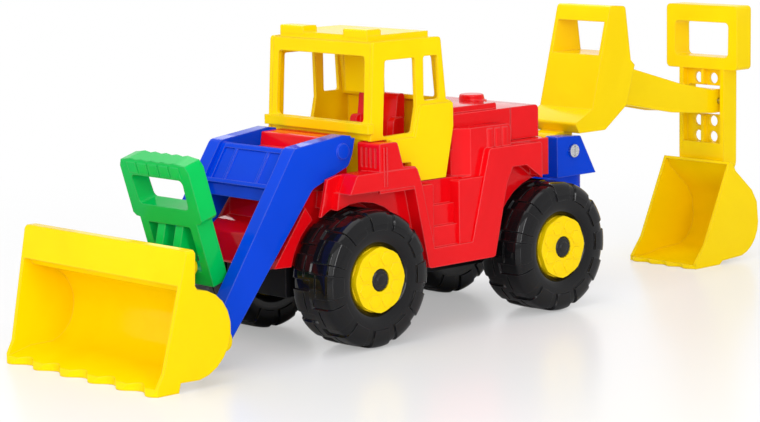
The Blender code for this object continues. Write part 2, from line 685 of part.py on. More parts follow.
def cab():
    """Open moulded cab: bent front and rear walls, windowed sides, roof with two light boxes."""
    front = WHEELBASE
    rear = CAB_SPLIT_X + 0.0027
    length = front - 0.0190 - rear
    low = DECK_Z + FIT
    over = TOWER_Z + CAB_GAP
    top = CAB_ROOF_Z - WINDOW_DROP
    door = rounded([(rear + 0.859 * length, top, 0.002), (rear + 0.473 * length, top, 0.002),
                    (rear + 0.462 * length, 0.1770), (rear + 0.519 * length, 0.1570, 0.002),
                    (rear + 0.900 * length, 0.1565, 0.002)])
    quarter = rounded([(rear + 0.3645 * length, top + 0.0004, 0.002), (rear + 0.179 * length, top + 0.0004, 0.002),
                       (rear + 0.156 * length, 0.1806, 0.002), (rear + 0.3645 * length, 0.1806, 0.002)])
    obj = pair(prism("cab", "Y", CAB_HALF - CAB_WALL, CAB_HALF, cab_side_outline(rear), door, quarter))
    panel = rounded([
        (rear + 0.505 * length, 0.1535), (rear + 0.437 * length, 0.1776, 0.003), (rear + 0.0004, 0.1776, 0.002),
        (rear + 0.0004, 0.1582), (rear + 0.0092, low + 0.0004), (front - 0.0574 - CAB_GAP, low + 0.0004),
        (front - 0.0539 - CAB_GAP, 0.1339 + CAB_GAP), (front - 0.0374 - CAB_GAP, 0.1349 + CAB_GAP),
        (front - 0.0322 - CAB_GAP, 0.1535)])
    join(obj, pair(prism("cab_panel", "Y", CAB_HALF - 0.001, CAB_SHOULDER, panel)))
    span = CAB_HALF - CAB_WALL + 0.001
    bend = [(rear + 0.0116, CAB_ROOF_Z - 0.001), (rear + 0.0062, 0.1802), (rear + 0.0004, 0.1782),
            (rear + 0.0004, 0.1580), (rear + 0.0092, low + 0.0002), (rear + 0.0092 + CAB_WALL, low + 0.0002),
            (rear + 0.0004 + CAB_WALL, 0.1586), (rear + 0.0004 + CAB_WALL, 0.1758),
            (rear + 0.0062 + CAB_WALL, 0.1778), (rear + 0.0116 + CAB_WALL, CAB_ROOF_Z - 0.001)]
    join(obj, prism("cab_rear", "Y", -span, span, bend))
    wall = [(front - 0.0194, CAB_ROOF_Z - 0.001), (front - 0.0154, SILL_BOTTOM), (front - 0.0149, over + 0.0003),
            (front - 0.0149 - CAB_WALL, over + 0.0003), (front - 0.0154 - CAB_WALL, SILL_BOTTOM),
            (front - 0.0194 - CAB_WALL, CAB_ROOF_Z - 0.001)]
    join(obj, prism("cab_front", "Y", -span, span, wall))
    apron = TOWER_INNER - CAB_GAP
    join(obj, box("cab_front_low", (front - 0.0152 - CAB_WALL, front - 0.0152), (-apron, apron),
                  (low, over + 0.003)))
    join(obj, box("cab_sill", (front - 0.0175, front - SILL_BACK), (-SILL_HALF, SILL_HALF),
                  (SILL_BOTTOM, SILL_TOP)))
    side = CAB_HALF - 0.0004
    join(obj, box("cab_roof", (rear + 0.0125, front - 0.0200), (-side, side),
                  (CAB_ROOF_Z - CAB_WALL, CAB_ROOF_Z - 0.0004)))
    panel_z = CAB_ROOF_Z + ROOF_PANEL_RISE
    join(obj, box("cab_roof_panel", (rear + 0.0158, front - 0.0215), (-ROOF_PANEL_HALF, ROOF_PANEL_HALF),
                  (CAB_ROOF_Z - 0.002, panel_z)))
    lamp = rounded([(front - 0.0213 - LIGHT_BOX_DEPTH, panel_z - 0.002),
                    (front - 0.0213 - LIGHT_BOX_DEPTH, panel_z + LIGHT_BOX_RISE, 0.002),
                    (front - 0.0213, panel_z + LIGHT_BOX_RISE, 0.0015), (front - 0.0213, panel_z - 0.002)])
    join(obj, pair(prism("cab_light_box", "Y", LIGHT_BOX_INNER, LIGHT_BOX_OUTER, lamp)))
    cut(obj, prism("cab_windscreen", "X", front - 0.0275, front - 0.0120, rounded(
        [(-0.0500, SILL_TOP + 0.0005, 0.003), (0.0500, SILL_TOP + 0.0005, 0.003),
         (0.0493, top + 0.0035, 0.003), (-0.0493, top + 0.0035, 0.003)])))
    cut(obj, prism("cab_rear_window", "X", rear - 0.006, rear + 0.019, rounded(
        [(-0.0505, 0.1812, 0.003), (0.0505, 0.1812, 0.003), (0.0505, top, 0.003), (-0.0505, top, 0.003)])))
    join(obj, box("cab_bulkhead", (rear + 0.430 * length, rear + 0.471 * length), (-BULKHEAD_HALF, BULKHEAD_HALF),
                  (SEAT_BACK_Z + 0.0008, CAB_ROOF_Z - 0.001)))
    finish(obj, YELLOW, 0.2)


def seat():
    """Moulded seat with a leaning backrest and two low arms, on the cab floor."""
    low = DECK_Z + FIT
    rear = CAB_SPLIT_X + 0.0175
    obj = prism("seat", "Y", -SEAT_HALF, SEAT_HALF, rounded([
        (rear + 0.0020, low), (rear + 0.0360, low), (rear + 0.0360, SEAT_Z - 0.004, 0.003),
        (rear + 0.0330, SEAT_Z, 0.003), (rear + 0.0130, SEAT_Z, 0.003), (rear + 0.0075, SEAT_BACK_Z, 0.003),
        (rear, SEAT_BACK_Z, 0.003)]))
    arm = rounded([(rear + 0.0030, low + 0.0030), (rear + 0.0190, low + 0.0030), (rear + 0.0150, SEAT_ARM_Z, 0.004),
                   (rear + 0.0040, SEAT_ARM_Z)])
    join(obj, pair(prism("seat_arm", "Y", SEAT_HALF - 0.004, SEAT_HALF + 0.003, arm)))
    finish(obj, RED, 0.25)


def front_hood():
    """Hood ahead of the cab. Its cheeks hold the cross pin of the loader arms."""
    low = DECK_Z + FIT
    half = ARM_INNER - 0.0008
    rear = WHEELBASE - 0.0110
    px, pz = ARM_PIVOT
    obj = prism("front_hood", "Y", -half, half, rounded([
        (rear, low), (rear, FRONT_HOOD_Z, 0.002), (px + 0.0070, FRONT_HOOD_Z - 0.0005, 0.0015),
        (px + 0.0085, pz - 0.0010), (px + 0.0325, pz - 0.0030), (WHEELBASE + 0.0450, low + 0.004),
        (WHEELBASE + 0.0450, low)]))
    inside = half - BODY_WALL * 2
    cut(obj, box("front_hood_room", (rear + BODY_WALL, px + 0.0270), (-inside, inside), (low - 0.01, 0.1400)))
    cut(obj, rod("front_hood_bore", "Y", ARM_PIVOT, ARM_PIN_RADIUS + PIN_FIT, -0.1, 0.1, 14))
    finish(obj, RED, 0.2)


def arm_outline():
    """Side of a loader arm: round rear end with a notched ear, a knee, then the long leg."""
    px, pz = ARM_PIVOT
    bx, bz = BUCKET_PIVOT
    return rounded([
        (px - 0.0130, pz + 0.0090), (px - 0.0095, pz + 0.0090), (px - 0.0085, pz + 0.0110),
        (px - 0.0010, pz + 0.0122), (px + 0.0480, pz + 0.0065, 0.006),
        (bx + 0.0095, bz + 0.0045, 0.007), (bx + 0.0030, bz - 0.0100, 0.006),
        (bx - 0.0110, bz - 0.0010, 0.004), (px + 0.0305, pz - 0.0255, 0.006),
        (px - 0.0060, pz - 0.0118, 0.006), (px - 0.0100, pz - 0.0030),
    ])


def loader_arms():
    """Both arms and the ribbed cross panel, moulded as one frame."""
    px, pz = ARM_PIVOT
    outer = ARM_INNER + ARM_THICK
    obj = pair(prism("loader_arms", "Y", ARM_INNER, outer, arm_outline()))
    panel = [(px + 0.0440, pz + 0.0050), (px + 0.0620, pz - 0.0235), (px + 0.0635, pz - 0.0330),
             (px + 0.0635 - PANEL_THICK, pz - 0.0330), (px + 0.0615 - PANEL_THICK, pz - 0.0245),
             (px + 0.0430 - PANEL_THICK, pz + 0.0035)]
    join(obj, prism("arm_panel", "Y", -ARM_INNER - 0.002, ARM_INNER + 0.002, panel))
    run = (0.0180, -0.0285)
    length = math.hypot(*run)
    normal = (-run[1] / length, run[0] / length)
    pitch = 2 * ARM_INNER / PANEL_RIBS
    for k in range(PANEL_RIBS):
        y = (k + 0.5 - PANEL_RIBS / 2) * pitch
        foot = [(px + 0.0445 + run[0] * t + normal[0] * d, pz + 0.0045 + run[1] * t + normal[1] * d)
                for t, d in ((0.03, -0.001), (0.97, -0.001), (0.97, PANEL_RIB), (0.03, PANEL_RIB))]
        join(obj, prism(f"arm_rib_{k}", "Y", y - 0.0012, y + 0.0012, foot))
    join(obj, pair(rod("arm_boss", "Y", ARM_PIVOT, ARM_BOSS_RADIUS, outer - 0.001, outer + ARM_BOSS_PROUD, 16)))
    bore = outer - BODY_WALL
    cut(obj, rod("arm_bore", "Y", ARM_PIVOT, ARM_PIN_RADIUS + PIN_FIT, -bore, bore, 14))
    cut(obj, rod("arm_bucket_bore", "Y", BUCKET_PIVOT, BUCKET_PIN_RADIUS + PIN_FIT, -0.1, 0.1, 14))
    finish(obj, BLUE, 0.18)
    reach = bore - FIT
    finish(rod("arm_pivot_pin", "Y", ARM_PIVOT, ARM_PIN_RADIUS, -reach, reach, 14), STEEL, 0.3, 1.0)


def loader_bucket():
    """Bucket with tapering sides, a spill guard on top, a wavy lip and ears for the arms."""
    bx = BUCKET_PIVOT[0]
    belly = (bx + 0.0575, 0.0390)
    radius = BELLY_RADIUS
    wall = BUCKET_WALL
    rate = (BUCKET_TOP_HALF / BUCKET_HALF - 1) / BUCKET_TOP_Z
    outer = [(bx + 0.0940, 0.0), (bx + 0.0850, 0.0160), (bx + 0.0655, BUCKET_TOP_Z),
             (bx + 0.0580, BUCKET_TOP_Z), (bx + 0.0580, 0.0750)]
    outer += arc(belly, radius, 93, 262, 11) + [(bx + 0.0700, 0.0070), (bx + 0.0715, 0.0)]
    obj = taper(prism("loader_bucket", "Y", -BUCKET_HALF, BUCKET_HALF, outer), rate)
    hollow = [(bx + 0.1070, 0.0015), (bx + 0.1070, 0.0760), (bx + 0.0660, 0.0760), (bx + 0.0630, 0.0705)]
    hollow += arc(belly, radius - wall, 104, 256, 11) + [(bx + 0.0700, 0.0100)]
    inside = BUCKET_HALF - wall
    cut(obj, taper(prism("loader_bucket_room", "Y", -inside, inside, hollow), rate))
    far = BUCKET_TOP_HALF + 0.010
    high = BUCKET_TOP_Z + 0.010
    bend = (BUCKET_TOP_HALF - BUCKET_CORNER + 0.0004, BUCKET_TOP_Z - BUCKET_CORNER + 0.0004)
    corner = [(far, bend[1] - 0.001), (far, high), (bend[0] - 0.001, high)] + arc(bend, BUCKET_CORNER, 94, -4, 6)
    cut(obj, pair(prism("loader_bucket_corner", "X", bx + 0.03, bx + 0.09, corner)))
    lip = [(bx + 0.1020, BUCKET_TOP_HALF), (bx + 0.1020, -BUCKET_TOP_HALF)]
    steps = 2 * BUCKET_TEETH * 6
    for k in range(steps + 1):
        y = BUCKET_TOP_HALF * (2 * k / steps - 1)
        lip.append((bx + 0.0940 - TOOTH_LENGTH * math.cos(math.pi * y / TOOTH_PITCH) ** 2, y))
    cut(obj, prism("loader_bucket_teeth", "Z", -0.01, 0.0150, lip))
    ear_in = ARM_INNER + ARM_THICK + FIT * 2
    px, pz = BUCKET_PIVOT
    root = radius - wall / 2
    ear = rounded([(px - EAR_RADIUS, pz + EAR_RADIUS, EAR_RADIUS * 0.95),
                   (px - EAR_RADIUS, pz - EAR_RADIUS, EAR_RADIUS * 0.95)] + arc(belly, root, 222, 172, 3))
    join(obj, pair(prism("loader_bucket_ear", "Y", ear_in, ear_in + EAR_THICK, ear)))
    hx, hz = HOOK_PIN
    size = HOOK_PIN_RADIUS * 2
    hook = rounded([(hx - size, hz + size, 0.005), (hx - size, hz - size, 0.005)] + arc(belly, root, 175, 135, 3))
    hook_in = FINGER_OUTER + FIT * 2
    join(obj, pair(prism("loader_bucket_hook_ear", "Y", hook_in, hook_in + HOOK_EAR_THICK, hook)))
    cut(obj, rod("loader_bucket_bore", "Y", BUCKET_PIVOT, BUCKET_PIN_RADIUS + PIN_FIT, -0.08, 0.08, 14))
    cut(obj, rod("loader_bucket_hook_bore", "Y", HOOK_PIN, HOOK_PIN_RADIUS + PIN_FIT, -0.05, 0.05, 14))
    finish(obj, YELLOW, 0.2)
    for side, sign in SIDES.items():
        span = sorted((sign * (ARM_INNER + 0.001), sign * (ear_in + EAR_THICK - 0.001)))
        finish(rod(f"bucket_pin_{side}", "Y", BUCKET_PIVOT, BUCKET_PIN_RADIUS, *span, 14), STEEL, 0.3, 1.0)


def tilt_handle():
    """Green lever: grip loop with finger ridges, a narrower frame below, two hooked fingers."""
    sine = math.sin(HANDLE_LEAN)
    cosine = math.cos(HANDLE_LEAN)
    outline = [(LOOP_HALF, -LOOP_HEIGHT + 0.003), (LOOP_HALF, -0.007), (LOOP_HALF - 0.003, -0.0018)]
    steps = GRIP_RIDGES * 4
    for k in range(steps + 1):
        y = LOOP_HALF * 0.78 * (1 - 2 * k / steps)
        outline.append((y, -RIDGE_RISE * (1 + math.cos(2 * math.pi * k / 4)) / 2))
    outline += [(-LOOP_HALF + 0.003, -0.0018), (-LOOP_HALF, -0.007), (-LOOP_HALF, -LOOP_HEIGHT + 0.003),
                (-LOOP_HALF + 0.003, -LOOP_HEIGHT + 0.0004), (-POST_HALF, -LOOP_HEIGHT),
                (-POST_HALF, -HANDLE_LENGTH), (POST_HALF, -HANDLE_LENGTH), (POST_HALF, -LOOP_HEIGHT),
                (LOOP_HALF - 0.003, -LOOP_HEIGHT + 0.0004)]
    grip = rounded([(0.0300, -0.0135, 0.004), (-0.0300, -0.0135, 0.004), (-0.0285, -0.0370, 0.004),
                    (0.0285, -0.0370, 0.004)])
    window = rounded([(0.0245, -0.0510, 0.002), (-0.0245, -0.0510, 0.002), (-0.0245, -0.0870, 0.002),
                      (0.0245, -0.0870, 0.002)])
    obj = prism("tilt_handle", "X", -HANDLE_DEPTH, 0, outline, grip, window)
    for vert in obj.data.vertices:
        d, y, w = vert.co
        w += HANDLE_LENGTH
        vert.co = (HANDLE_FOOT[0] + w * sine + d * cosine, y, HANDLE_FOOT[1] + w * cosine - d * sine)
    hx, hz = HOOK_PIN
    finger = rounded([(hx - 0.0055, hz + 0.0325), (hx + 0.0010, hz + 0.0315),
                      (hx + HOOK_RADIUS, hz - HOOK_RADIUS, 0.009),
                      (hx - HOOK_RADIUS - 0.001, hz - HOOK_RADIUS, 0.009), (hx - HOOK_RADIUS, hz + 0.0110, 0.003)])
    join(obj, pair(prism("tilt_handle_finger", "Y", FINGER_INNER, FINGER_OUTER, finger)))
    cut(obj, rod("tilt_handle_bore", "Y", HOOK_PIN, HOOK_PIN_RADIUS + PIN_FIT, -0.05, 0.05, 14))
    finish(obj, GREEN, 0.2)
    reach = FINGER_OUTER + FIT * 2 + HOOK_EAR_THICK - 0.001
    finish(rod("hook_pin", "Y", HOOK_PIN, HOOK_PIN_RADIUS, -reach, reach, 14), STEEL, 0.3, 1.0)


def swing_bracket():
    """Bracket on the body's rear wall, ending in the barrel that the swing block turns on."""
    wall = -BODY_REAR - FIT
    plan = [(wall, CHEEK_OUTER)] + [(-0.030, CHEEK_OUTER - 0.004)]
    plan += arc((SWING_X, 0), BARREL_RADIUS, 70, 290, 12) + [(-0.030, -CHEEK_OUTER + 0.004), (wall, -CHEEK_OUTER)]
    obj = prism("swing_bracket", "Z", BRACKET_BOTTOM, BRACKET_TOP, plan)
    cut(obj, rod("swing_bracket_bore", "Z", (SWING_X, 0), SWING_PIN_RADIUS + PIN_FIT, 0, 0.2, 16))
    cut(obj, box("swing_bracket_room", (-0.066, wall - 0.006), (-0.014, 0.014),
                 (BRACKET_BOTTOM - 0.01, BRACKET_TOP - 0.004)))
    finish(obj, BLUE, 0.2)
    pin = rod("swing_pin", "Z", (SWING_X, 0), SWING_PIN_RADIUS, BRACKET_BOTTOM + FIT,
              BRACKET_TOP + FIT + BLOCK_FLOOR - 0.001, 16)
    finish(pin, STEEL, 0.3, 1.0)


def swing_block():
    """Clevis that swings on the bracket; its two cheeks hold the boom screw."""
    low = BRACKET_TOP + FIT
    px = BOOM_PIVOT[0]
    side = rounded([(px + 0.0190, low), (px + 0.0190, BLOCK_TOP, 0.002), (px - 0.0095, BLOCK_TOP - 0.001, 0.002),
                    (px - 0.0285, low)])
    obj = pair(prism("swing_block", "Y", CHEEK_INNER, CHEEK_OUTER, side))
    floor = [(px + 0.0185, low + 0.0002), (px + 0.0185, low + BLOCK_FLOOR), (px - 0.0255, low + BLOCK_FLOOR),
             (px - 0.0280, low + 0.0002)]
    join(obj, prism("swing_block_floor", "Y", -CHEEK_INNER - 0.001, CHEEK_INNER + 0.001, floor))
    cut(obj, rod("swing_block_socket", "Z", (SWING_X, 0), SWING_PIN_RADIUS + PIN_FIT, low - 0.01,
                 low + BLOCK_FLOOR - 0.0007, 16))
    cut(obj, rod("swing_block_bore", "Y", BOOM_PIVOT, BOLT_RADIUS + PIN_FIT, -0.1, 0.1, 14))
    finish(obj, BLUE, 0.18)
    head = CHEEK_OUTER + FIT
    bolt = rod("boom_screw", "Y", BOOM_PIVOT, BOLT_RADIUS, -head - BOLT_HEAD, head + BOLT_HEAD / 2, 14)
    join(bolt, rod("boom_screw_head", "Y", BOOM_PIVOT, BOLT_HEAD_RADIUS, head, head + BOLT_HEAD, 18))
    cut(bolt, box("boom_screw_slot", (px - 0.0006, px + 0.0006), (head + BOLT_HEAD - 0.0008, 0.05), (0, 0.2)))
    finish(bolt, STEEL, 0.25, 1.0)
    nut = prism("boom_nut", "Y", -head - BOLT_HEAD, -head, circle(BOOM_PIVOT, BOLT_HEAD_RADIUS, 6),
                circle(BOOM_PIVOT, BOLT_RADIUS + FIT, 14))
    finish(nut, STEEL, 0.35, 1.0)


def boom():
    """Boom: boxed handle that widens to its foot, with a window through it, a tongue and a hollow beam."""
    px, pz = BOOM_PIVOT
    dx, dz = DIPPER_PIVOT
    foot = BLOCK_TOP + 0.0012
    case = rounded([(-0.1180, 0.2375, 0.004), (-0.0950, 0.1520), (-0.0735, 0.1415, 0.002), (-0.0785, foot),
                    (-0.1110, foot, 0.002),
                    (-0.1385, 0.1520, 0.003), (-0.1490, 0.1855, 0.001), (-0.1440, 0.1900),
                    (-0.1370, 0.2365, 0.004)])
    obj = prism("boom", "Y", -BOOM_HALF, BOOM_HALF, case)
    beam = rounded([(-0.1300, 0.1830), (-0.1630, 0.1800), (-0.2235, 0.1630), (dx + 0.010, dz + NOSE_HEIGHT_HALF),
                    (dx - 0.0085, dz + NOSE_HEIGHT_HALF, 0.0085), (dx - 0.0085, dz - NOSE_HEIGHT_HALF, 0.0085),
                    (dx + 0.010, dz - NOSE_HEIGHT_HALF), (-0.2140, 0.1380), (-0.1550, 0.1495), (-0.1300, 0.1550)])
    join(obj, prism("boom_beam", "Y", -BEAM_HALF, BEAM_HALF, beam))
    tongue = rounded([(px + 0.0130, pz - 0.0130, 0.0125), (px + 0.0130, pz + 0.0130, 0.0125),
                      (-0.0870, foot + 0.0012), (-0.0950, foot + 0.0080), (-0.1060, foot + 0.0080),
                      (-0.1070, foot + 0.0004), (-0.0890, foot - 0.0010), (px - 0.0130, pz - 0.0130, 0.0125)])
    half = CHEEK_INNER - FIT * 2
    join(obj, prism("boom_tongue", "Y", -half, half, tongue))
    inner = BOOM_HALF - BOOM_WALL
    cut(obj, box("boom_window", (-0.20, -0.05), (-inner, inner), (0.1965, 0.2240)))
    room = BEAM_HALF - BOOM_WALL
    cut(obj, prism("boom_room", "Y", -room, room, [
        (-0.1180, 0.1740), (-0.1620, 0.1765), (-0.2230, 0.1596), (-0.2500, 0.1530), (-0.2500, 0.1200),
        (-0.1150, 0.1200), (-0.1120, 0.1600)]))
    cut(obj, rod("boom_bore", "Y", BOOM_PIVOT, BOLT_RADIUS + PIN_FIT, -0.1, 0.1, 14))
    cut(obj, rod("boom_dipper_bore", "Y", DIPPER_PIVOT, DIPPER_PIN_RADIUS + PIN_FIT, -0.1, 0.1, 14))
    finish(obj, YELLOW, 0.2)


def dipper():
    """Dipper: grip loop on a channel stick, with a sunk web, a slot for the boom's nose and relief holes."""
    dz = DIPPER_PIVOT[1]
    cz = CURL_PIVOT[1]
    front = DIPPER_FRONT
    back = front - STICK_DEPTH
    web_bottom = cz + 0.0105
    loop = rounded([(GRIP_HALF, DIPPER_TOP, 0.004), (-GRIP_HALF, DIPPER_TOP, 0.004), (-GRIP_HALF, GRIP_BOTTOM, 0.004),
                    (GRIP_HALF, GRIP_BOTTOM, 0.004)])
    window = rounded([(0.0305, 0.2130, 0.004), (-0.0305, 0.2130, 0.004), (-0.0300, 0.1820, 0.004),
                      (0.0300, 0.1820, 0.004)])
    obj = prism("dipper", "X", front - GRIP_DEPTH, front, loop, window)
    side = STICK_HALF - 0.001
    slot_half = NOSE_HEIGHT_HALF + 0.0025
    web = [(side, GRIP_BOTTOM + 0.002), (-side, GRIP_BOTTOM + 0.002), (-side, web_bottom), (side, web_bottom)]
    slot = rounded([(BEAM_HALF + 0.003, dz + slot_half, 0.002), (-BEAM_HALF - 0.003, dz + slot_half, 0.002),
                    (-BEAM_HALF - 0.003, dz - slot_half, 0.002), (BEAM_HALF + 0.003, dz - slot_half, 0.002)])
    holes = [circle((y * DIPPER_HOLE_Y, z), DIPPER_HOLE_RADIUS, 12)
             for z in (dz + 0.0195, dz - 0.0190, dz - 0.0330) for y in (1, -1)]
    join(obj, prism("dipper_web", "X", front - STICK_SINK - STICK_WEB, front - STICK_SINK, web, slot, *holes))
    join(obj, box("dipper_apron", (front - STICK_WEB, front - 0.0002), (-side, side), (cz + 0.0005, cz + 0.0165)))
    for place, low, high in (("low", web_bottom + 0.0005, dz - slot_half - 0.001),
                             ("high", dz + slot_half + 0.001, GRIP_BOTTOM + 0.0015)):
        join(obj, box(f"dipper_rib_{place}", (front - STICK_SINK - 0.001, front - 0.001),
                      (-STICK_RIB / 2, STICK_RIB / 2), (low, high)))
    flange = rounded([(front - 0.0001, GRIP_BOTTOM + 0.003), (back, GRIP_BOTTOM + 0.003, 0.004),
                      (back, cz - FLANGE_END_RADIUS, 0.008), (front - 0.0010, cz - FLANGE_END_RADIUS, 0.008),
                      (front - 0.0001, cz + 0.006)])
    for name, sign in SIDES.items():
        span = sorted((sign * (STICK_HALF - FLANGE), sign * STICK_HALF))
        join(obj, prism(f"dipper_flange_{name}", "Y", *span, flange))
    blind = STICK_HALF - 0.0015
    cut(obj, rod("dipper_bore", "Y", DIPPER_PIVOT, DIPPER_PIN_RADIUS + PIN_FIT, -blind, blind, 14))
    cut(obj, rod("dipper_curl_bore", "Y", CURL_PIVOT, CURL_PIN_RADIUS + PIN_FIT, -blind, blind, 14))
    finish(obj, YELLOW, 0.2)
    reach = blind - FIT
    finish(rod("dipper_pin", "Y", DIPPER_PIVOT, DIPPER_PIN_RADIUS, -reach, reach, 14), STEEL, 0.3, 1.0)
    finish(rod("dig_bucket_pin", "Y", CURL_PIVOT, CURL_PIN_RADIUS, -reach, reach, 14), STEEL, 0.3, 1.0)


def dig_bucket():
    """Digging bucket with a round back, toothed lip and two ears inside the dipper's channel."""
    belly = (-0.2790, 0.0330)
    radius = 0.0293
    wall = DIG_WALL
    outer = [(-0.2172, 0.0), (-0.2345, 0.0205), (-0.2680, 0.0905), (-0.2725, 0.0885), (-0.2757, 0.0820),
             (-0.2991, 0.0622), (-0.3062, 0.0508)]
    outer += arc(belly, radius, 165, 258, 6) + [(-0.2580, 0.0030), (-0.2540, 0.0)]
    obj = prism("dig_bucket", "Y", -DIG_HALF, DIG_HALF, outer)
    hollow = [(-0.2050, 0.0034), (-0.2050, 0.1100), (-0.2640, 0.0900), (-0.2702, 0.0862), (-0.2733, 0.0802),
              (-0.2972, 0.0598), (-0.3038, 0.0490)]
    hollow += arc(belly, radius - wall, 163, 256, 6) + [(-0.2570, 0.0062), (-0.2400, 0.0034)]
    inside = DIG_HALF - wall
    cut(obj, prism("dig_bucket_room", "Y", -inside, inside, hollow))
    lip = [(-0.2100, DIG_HALF + 0.001), (-0.2100, -DIG_HALF - 0.001)]
    steps = DIG_TEETH * 8
    for k in range(steps + 1):
        y = (DIG_HALF + 0.001) * (2 * k / steps - 1)
        lip.append((-0.2172 - DIG_TOOTH * math.cos(math.pi * DIG_TEETH * y / (2 * DIG_HALF)) ** 2, y))
    cut(obj, prism("dig_bucket_teeth", "Z", -0.01, 0.0040, lip))
    cx, cz = CURL_PIVOT
    inner = STICK_HALF - FLANGE - FIT * 2
    ear = rounded([(cx + CURL_EAR, 0.0790), (cx + CURL_EAR, cz + CURL_EAR, CURL_EAR * 0.97),
                   (cx - CURL_EAR, cz + CURL_EAR, CURL_EAR * 0.97), (cx - CURL_EAR, 0.0688)])
    join(obj, pair(prism("dig_bucket_ear", "Y", inner - EAR_THICK, inner, ear)))
    cut(obj, rod("dig_bucket_bore", "Y", CURL_PIVOT, CURL_PIN_RADIUS + PIN_FIT, -0.05, 0.05, 14))
    finish(obj, YELLOW, 0.2)


def assemble():
    """Hangs every part on the empty of its joint, and all of them on the root."""
    make_axis("toy_root", (0, 0, 0))
    axes["toy_root"][0].location = (-CENTRE_X, 0, 0)
    make_axis("loader_lift_axis", (ARM_PIVOT[0], 0, ARM_PIVOT[1]), "toy_root")
    make_axis("bucket_tilt_axis", (BUCKET_PIVOT[0], 0, BUCKET_PIVOT[1]), "loader_lift_axis")
    make_axis("swing_axis", (SWING_X, 0, BRACKET_TOP), "toy_root")
    make_axis("boom_axis", (BOOM_PIVOT[0], 0, BOOM_PIVOT[1]), "swing_axis")
    make_axis("dipper_axis", (DIPPER_PIVOT[0], 0, DIPPER_PIVOT[1]), "boom_axis")
    make_axis("curl_axis", (CURL_PIVOT[0], 0, CURL_PIVOT[1]), "dipper_axis")
    carry("toy_root", "body_shell", "chassis", "rear_hood", "filter_cap", "cab", "seat", "front_hood",
          "arm_pivot_pin", "swing_bracket", "swing_pin", "front_axle", "rear_axle")
    carry("loader_lift_axis", "loader_arms", "bucket_pin_left", "bucket_pin_right")
    carry("bucket_tilt_axis", "loader_bucket", "tilt_handle", "hook_pin")
    carry("swing_axis", "swing_block", "boom_screw", "boom_nut")
    carry("boom_axis", "boom", "dipper_pin")
    carry("dipper_axis", "dipper", "dig_bucket_pin")
    carry("curl_axis", "dig_bucket")
    for end, x in AXLE_X.items():
        for side, sign in SIDES.items():
            name = f"{end}_{side}"
            make_axis(f"wheel_axis_{name}", (x, sign * TRACK_HALF, TYRE_RADIUS), "toy_root")
            carry(f"wheel_axis_{name}", f"tyre_{name}", f"hub_{name}")
            carry("toy_root", f"axle_cap_{name}")


def main():
    start_scene()
    wheels_and_axles()
    chassis()
    body_shell()
    rear_hood()
    cab()
    seat()
    front_hood()
    loader_arms()
    loader_bucket()
    tilt_handle()
    swing_bracket()
    swing_block()
    boom()
    dipper()
    dig_bucket()
    assemble()


main()
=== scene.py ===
import json
import math

import bmesh
import bpy
from mathutils import Matrix, Vector


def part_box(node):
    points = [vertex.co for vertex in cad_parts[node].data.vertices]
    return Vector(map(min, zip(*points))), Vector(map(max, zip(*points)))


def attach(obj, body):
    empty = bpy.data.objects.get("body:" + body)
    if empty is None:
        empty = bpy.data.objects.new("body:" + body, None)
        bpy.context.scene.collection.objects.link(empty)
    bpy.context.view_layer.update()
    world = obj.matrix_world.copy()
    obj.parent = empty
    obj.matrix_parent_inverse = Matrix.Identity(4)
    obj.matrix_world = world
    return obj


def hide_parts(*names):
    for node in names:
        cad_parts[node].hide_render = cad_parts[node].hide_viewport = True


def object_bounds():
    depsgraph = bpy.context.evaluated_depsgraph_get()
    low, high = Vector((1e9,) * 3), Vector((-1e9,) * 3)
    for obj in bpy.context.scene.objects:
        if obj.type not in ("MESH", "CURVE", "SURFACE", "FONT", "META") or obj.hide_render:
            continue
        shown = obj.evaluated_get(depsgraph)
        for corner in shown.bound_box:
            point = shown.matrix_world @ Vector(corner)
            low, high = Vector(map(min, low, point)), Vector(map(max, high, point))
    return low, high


bl_info = {
    "name": "Toy Backhoe Loader",
    "version": (1, 0, 0),
    "blender": (4, 5, 0),
    "location": "View3D > Sidebar > Backhoe",
    "description": "Dresses the moulded toy backhoe loader and sets its studio",
    "category": "Object",
}

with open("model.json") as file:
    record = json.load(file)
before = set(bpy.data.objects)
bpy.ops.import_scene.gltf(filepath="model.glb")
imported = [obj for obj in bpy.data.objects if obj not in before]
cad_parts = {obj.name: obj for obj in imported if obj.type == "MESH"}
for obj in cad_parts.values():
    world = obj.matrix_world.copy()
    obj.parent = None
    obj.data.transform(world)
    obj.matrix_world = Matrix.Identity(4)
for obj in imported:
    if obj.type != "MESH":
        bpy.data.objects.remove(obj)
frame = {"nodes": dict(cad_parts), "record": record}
CAD_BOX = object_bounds()
BODY_OF = {node: body for body, nodes in frame["record"]["behaviour"]["bodies"].items() for node in nodes}
SIDES = (-1, 1)

# Mouldings
WELD = 0.00002                       # corners closer than this are one
SHARP_MOULDING = math.radians(32)
SHARP_TYRE = math.radians(40)

# Tyres, in millimetres
WHEELS = ("front_left", "front_right", "rear_left", "rear_right")
TYRE_LIMIT = 52.5                    # radius that no lug passes
LUGS = 12                            # in each of the two rows, which are staggered
LUG_SHARE = 0.35                     # half a lug's length, as a share of the pitch
LUG_EDGE = 0.014                     # half the run of a lug's flank, as a share of the pitch
LUG_HEIGHT = 1.4
DASH_SHARE = 0.2                     # share of a lug's height left in the dash along it
DASH_LENGTH = 0.8                    # share of a lug's length that the dash takes
STEPS_PER_LUG = 10
STEP_SHIFT = 0.013                   # keeps the even steps off the lugs' flanks
